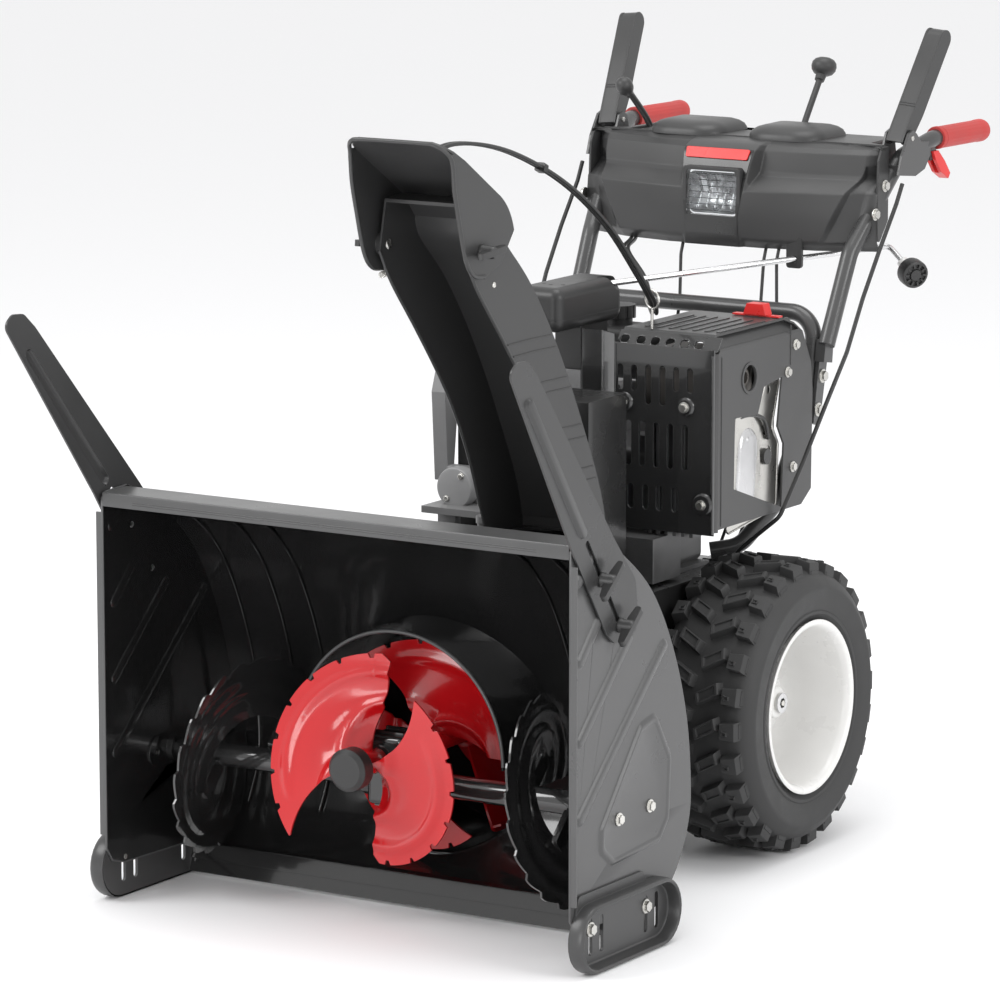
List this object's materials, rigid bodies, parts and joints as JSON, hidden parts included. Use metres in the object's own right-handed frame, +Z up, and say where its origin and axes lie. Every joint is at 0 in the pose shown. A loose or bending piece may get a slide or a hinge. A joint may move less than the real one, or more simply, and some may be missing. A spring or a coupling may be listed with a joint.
{
  "type": "snow blower",
  "caption": "Self-propelled walk-behind snow blower with auger housing, impeller, turning chute with tilting hood, engine, two wheels and operator handles.",
  "frame": {"origin": "on the ground, under the middle of the whole machine", "axes": "+Z up; the machine drives and takes in snow towards -Y; the operator stands at +Y; +X is the operator's left"},
  "size_m": [0.8246, 1.6062, 1.1732],
  "materials": {
    "bucket_black": "gloss",
    "plate_grey": "satin",
    "shoe_black": "satin",
    "impeller_red": "gloss",
    "cap_black": "satin",
    "bright_steel": "satin",
    "chute_grey": "satin",
    "knob_plastic": "matte",
    "head_grey": "satin",
    "frame_black": "gloss",
    "tyre_rubber": "matte",
    "rim_white": "gloss",
    "cast_aluminium": "matte",
    "muffler_steel": "satin",
    "guard_black": "gloss",
    "cover_grey": "satin",
    "zinc": "satin",
    "tank_black": "satin",
    "red_plastic": "gloss",
    "grip_red": "matte",
    "tube_black": "satin",
    "console_grey": "satin",
    "paddle_black": "satin",
    "lamp_clear": "clear",
    "cable_black": "satin"
  },
  "bodies": {
    "machine": {"housing_shell": "bucket_black", "scraper_bar": "bucket_black", "impeller_drum": "bucket_black", "impeller_hoop": "bucket_black", "auger_gearbox": "bucket_black", "bearings": "bucket_black", "side_plate_left": "plate_grey", "side_plate_right": "plate_grey", "skid_shoe_left": "shoe_black", "skid_shoe_right": "shoe_black", "wing_knobs": "knob_plastic", "chute_control_head": "head_grey", "frame": "frame_black", "belt_cover": "frame_black", "engine_block": "cast_aluminium", "muffler": "muffler_steel", "muffler_guard": "guard_black", "engine_cover": "cover_grey", "air_box": "cover_grey", "exhaust_deflector": "zinc", "fasteners": "zinc", "fuel_tank": "tank_black", "grip_left": "grip_red", "grip_right": "grip_red", "lower_handle": "tube_black", "upper_handle_left": "tube_black", "upper_handle_right": "tube_black", "console": "console_grey", "headlight": "lamp_clear", "control_cables": "cable_black", "deflector_cables": "cable_black"},
    "auger": {"auger_shaft": "bucket_black", "auger_spiral_left": "bucket_black", "auger_spiral_right": "bucket_black"},
    "impeller": {"impeller_shaft": "bright_steel", "impeller": "impeller_red", "accelerator": "impeller_red", "accelerator_cap": "cap_black"},
    "wheel_left": {"tyre_left": "tyre_rubber", "rim_left": "rim_white", "half_axle_left": "bright_steel"},
    "wheel_right": {"tyre_right": "tyre_rubber", "rim_right": "rim_white", "half_axle_right": "bright_steel"},
    "chute": {"chute": "chute_grey", "chute_ring": "cap_black"},
    "hood": {"hood": "chute_grey", "hood_knobs": "knob_plastic"},
    "crank": {"crank_rod": "bright_steel", "crank_knob": "knob_plastic"},
    "paddle_left": {"paddle_left": "paddle_black"},
    "paddle_right": {"paddle_right": "paddle_black"},
    "trigger_left": {"trigger_left": "red_plastic"},
    "trigger_right": {"trigger_right": "red_plastic"},
    "shift_lever": {"shift_lever": "paddle_black"},
    "joystick": {"joystick": "paddle_black"},
    "drift_cutter_left": {"drift_cutter_left": "plate_grey"},
    "drift_cutter_right": {"drift_cutter_right": "plate_grey"},
    "fuel_cap": {"fuel_cap": "tank_black"},
    "throttle": {"throttle_knob": "red_plastic"}
  },
  "joints": [
    {"name": "auger_spin", "type": "hinge", "parent": "machine", "child": "auger", "pos_m": [0, -0.4511, 0.196], "axis": [1, 0, 0], "continuous": true},
    {"name": "impeller_spin", "type": "hinge", "parent": "machine", "child": "impeller", "pos_m": [0, -0.4511, 0.231], "axis": [0, 1, 0], "continuous": true},
    {"name": "wheel_left_spin", "type": "hinge", "parent": "machine", "child": "wheel_left", "pos_m": [0.243, 0.1799, 0.217], "axis": [1, 0, 0], "continuous": true},
    {"name": "wheel_right_spin", "type": "hinge", "parent": "machine", "child": "wheel_right", "pos_m": [-0.243, 0.1799, 0.217], "axis": [1, 0, 0], "continuous": true},
    {"name": "chute_turn", "type": "hinge", "parent": "machine", "child": "chute", "pos_m": [0.1, -0.2151, 0.508], "axis": [0, 0, 1], "range_deg": [-90, 90], "deforming": ["deflector_cables"]},
    {"name": "hood_pitch", "type": "hinge", "parent": "chute", "child": "hood", "pos_m": [0.1, -0.5131, 0.957], "axis": [1, 0, 0], "range_deg": [-6, 44], "deforming": ["deflector_cables"]},
    {"name": "crank_turn", "type": "hinge", "parent": "machine", "child": "crank", "pos_m": [-0.15, -0.0231, 0.804], "axis": [0.5198, 0.8524, 0.0564], "range_deg": [-540, 540]},
    {"name": "paddle_left_press", "type": "hinge", "parent": "machine", "child": "paddle_left", "pos_m": [0.252, 0.5569, 1.014], "axis": [1, 0, 0], "range_deg": [-33, 0], "stiffness_Nm_per_rad": 1.2, "springref_deg": 20.05},
    {"name": "paddle_right_press", "type": "hinge", "parent": "machine", "child": "paddle_right", "pos_m": [-0.252, 0.5569, 1.014], "axis": [1, 0, 0], "range_deg": [-33, 0], "stiffness_Nm_per_rad": 1.2, "springref_deg": 20.05},
    {"name": "trigger_left_pull", "type": "hinge", "parent": "machine", "child": "trigger_left", "pos_m": [0.266, 0.6329, 0.982], "axis": [1, 0, 0], "range_deg": [0, 16], "stiffness_Nm_per_rad": 0.4, "springref_deg": -17.19},
    {"name": "trigger_right_pull", "type": "hinge", "parent": "machine", "child": "trigger_right", "pos_m": [-0.266, 0.6329, 0.982], "axis": [1, 0, 0], "range_deg": [0, 16], "stiffness_Nm_per_rad": 0.4, "springref_deg": -17.19},
    {"name": "speed_select", "type": "hinge", "parent": "machine", "child": "shift_lever", "pos_m": [0.056, 0.5949, 0.95], "axis": [1, 0, 0], "range_deg": [-6, 26]},
    {"name": "hood_joystick", "type": "hinge", "parent": "machine", "child": "joystick", "pos_m": [-0.19, 0.5829, 0.95], "axis": [1, 0, 0], "range_deg": [-4, 20]},
    {"name": "drift_cutter_left_slide", "type": "slide", "parent": "machine", "child": "drift_cutter_left", "axis": [0, 0.5655, -0.8247], "range_m": [0, 0.06]},
    {"name": "drift_cutter_right_slide", "type": "slide", "parent": "machine", "child": "drift_cutter_right", "axis": [0, 0.5655, -0.8247], "range_m": [0, 0.06]},
    {"name": "fuel_cap_twist", "type": "hinge", "parent": "machine", "child": "fuel_cap", "pos_m": [-0.07, 0.2719, 0.752], "axis": [0, 0, 1], "range_deg": [0, 90]},
    {"name": "throttle_slide", "type": "slide", "parent": "machine", "child": "throttle", "axis": [1, 0, 0], "range_m": [-0.02, 0.006]}
  ],
  "couplings": [
    {"joint": "impeller_spin", "follows": "auger_spin", "ratio": 10},
    {"joint": "crank_turn", "follows": "chute_turn", "ratio": 6},
    {"joint": "hood_joystick", "follows": "hood_pitch", "ratio": 0.4}
  ]
}
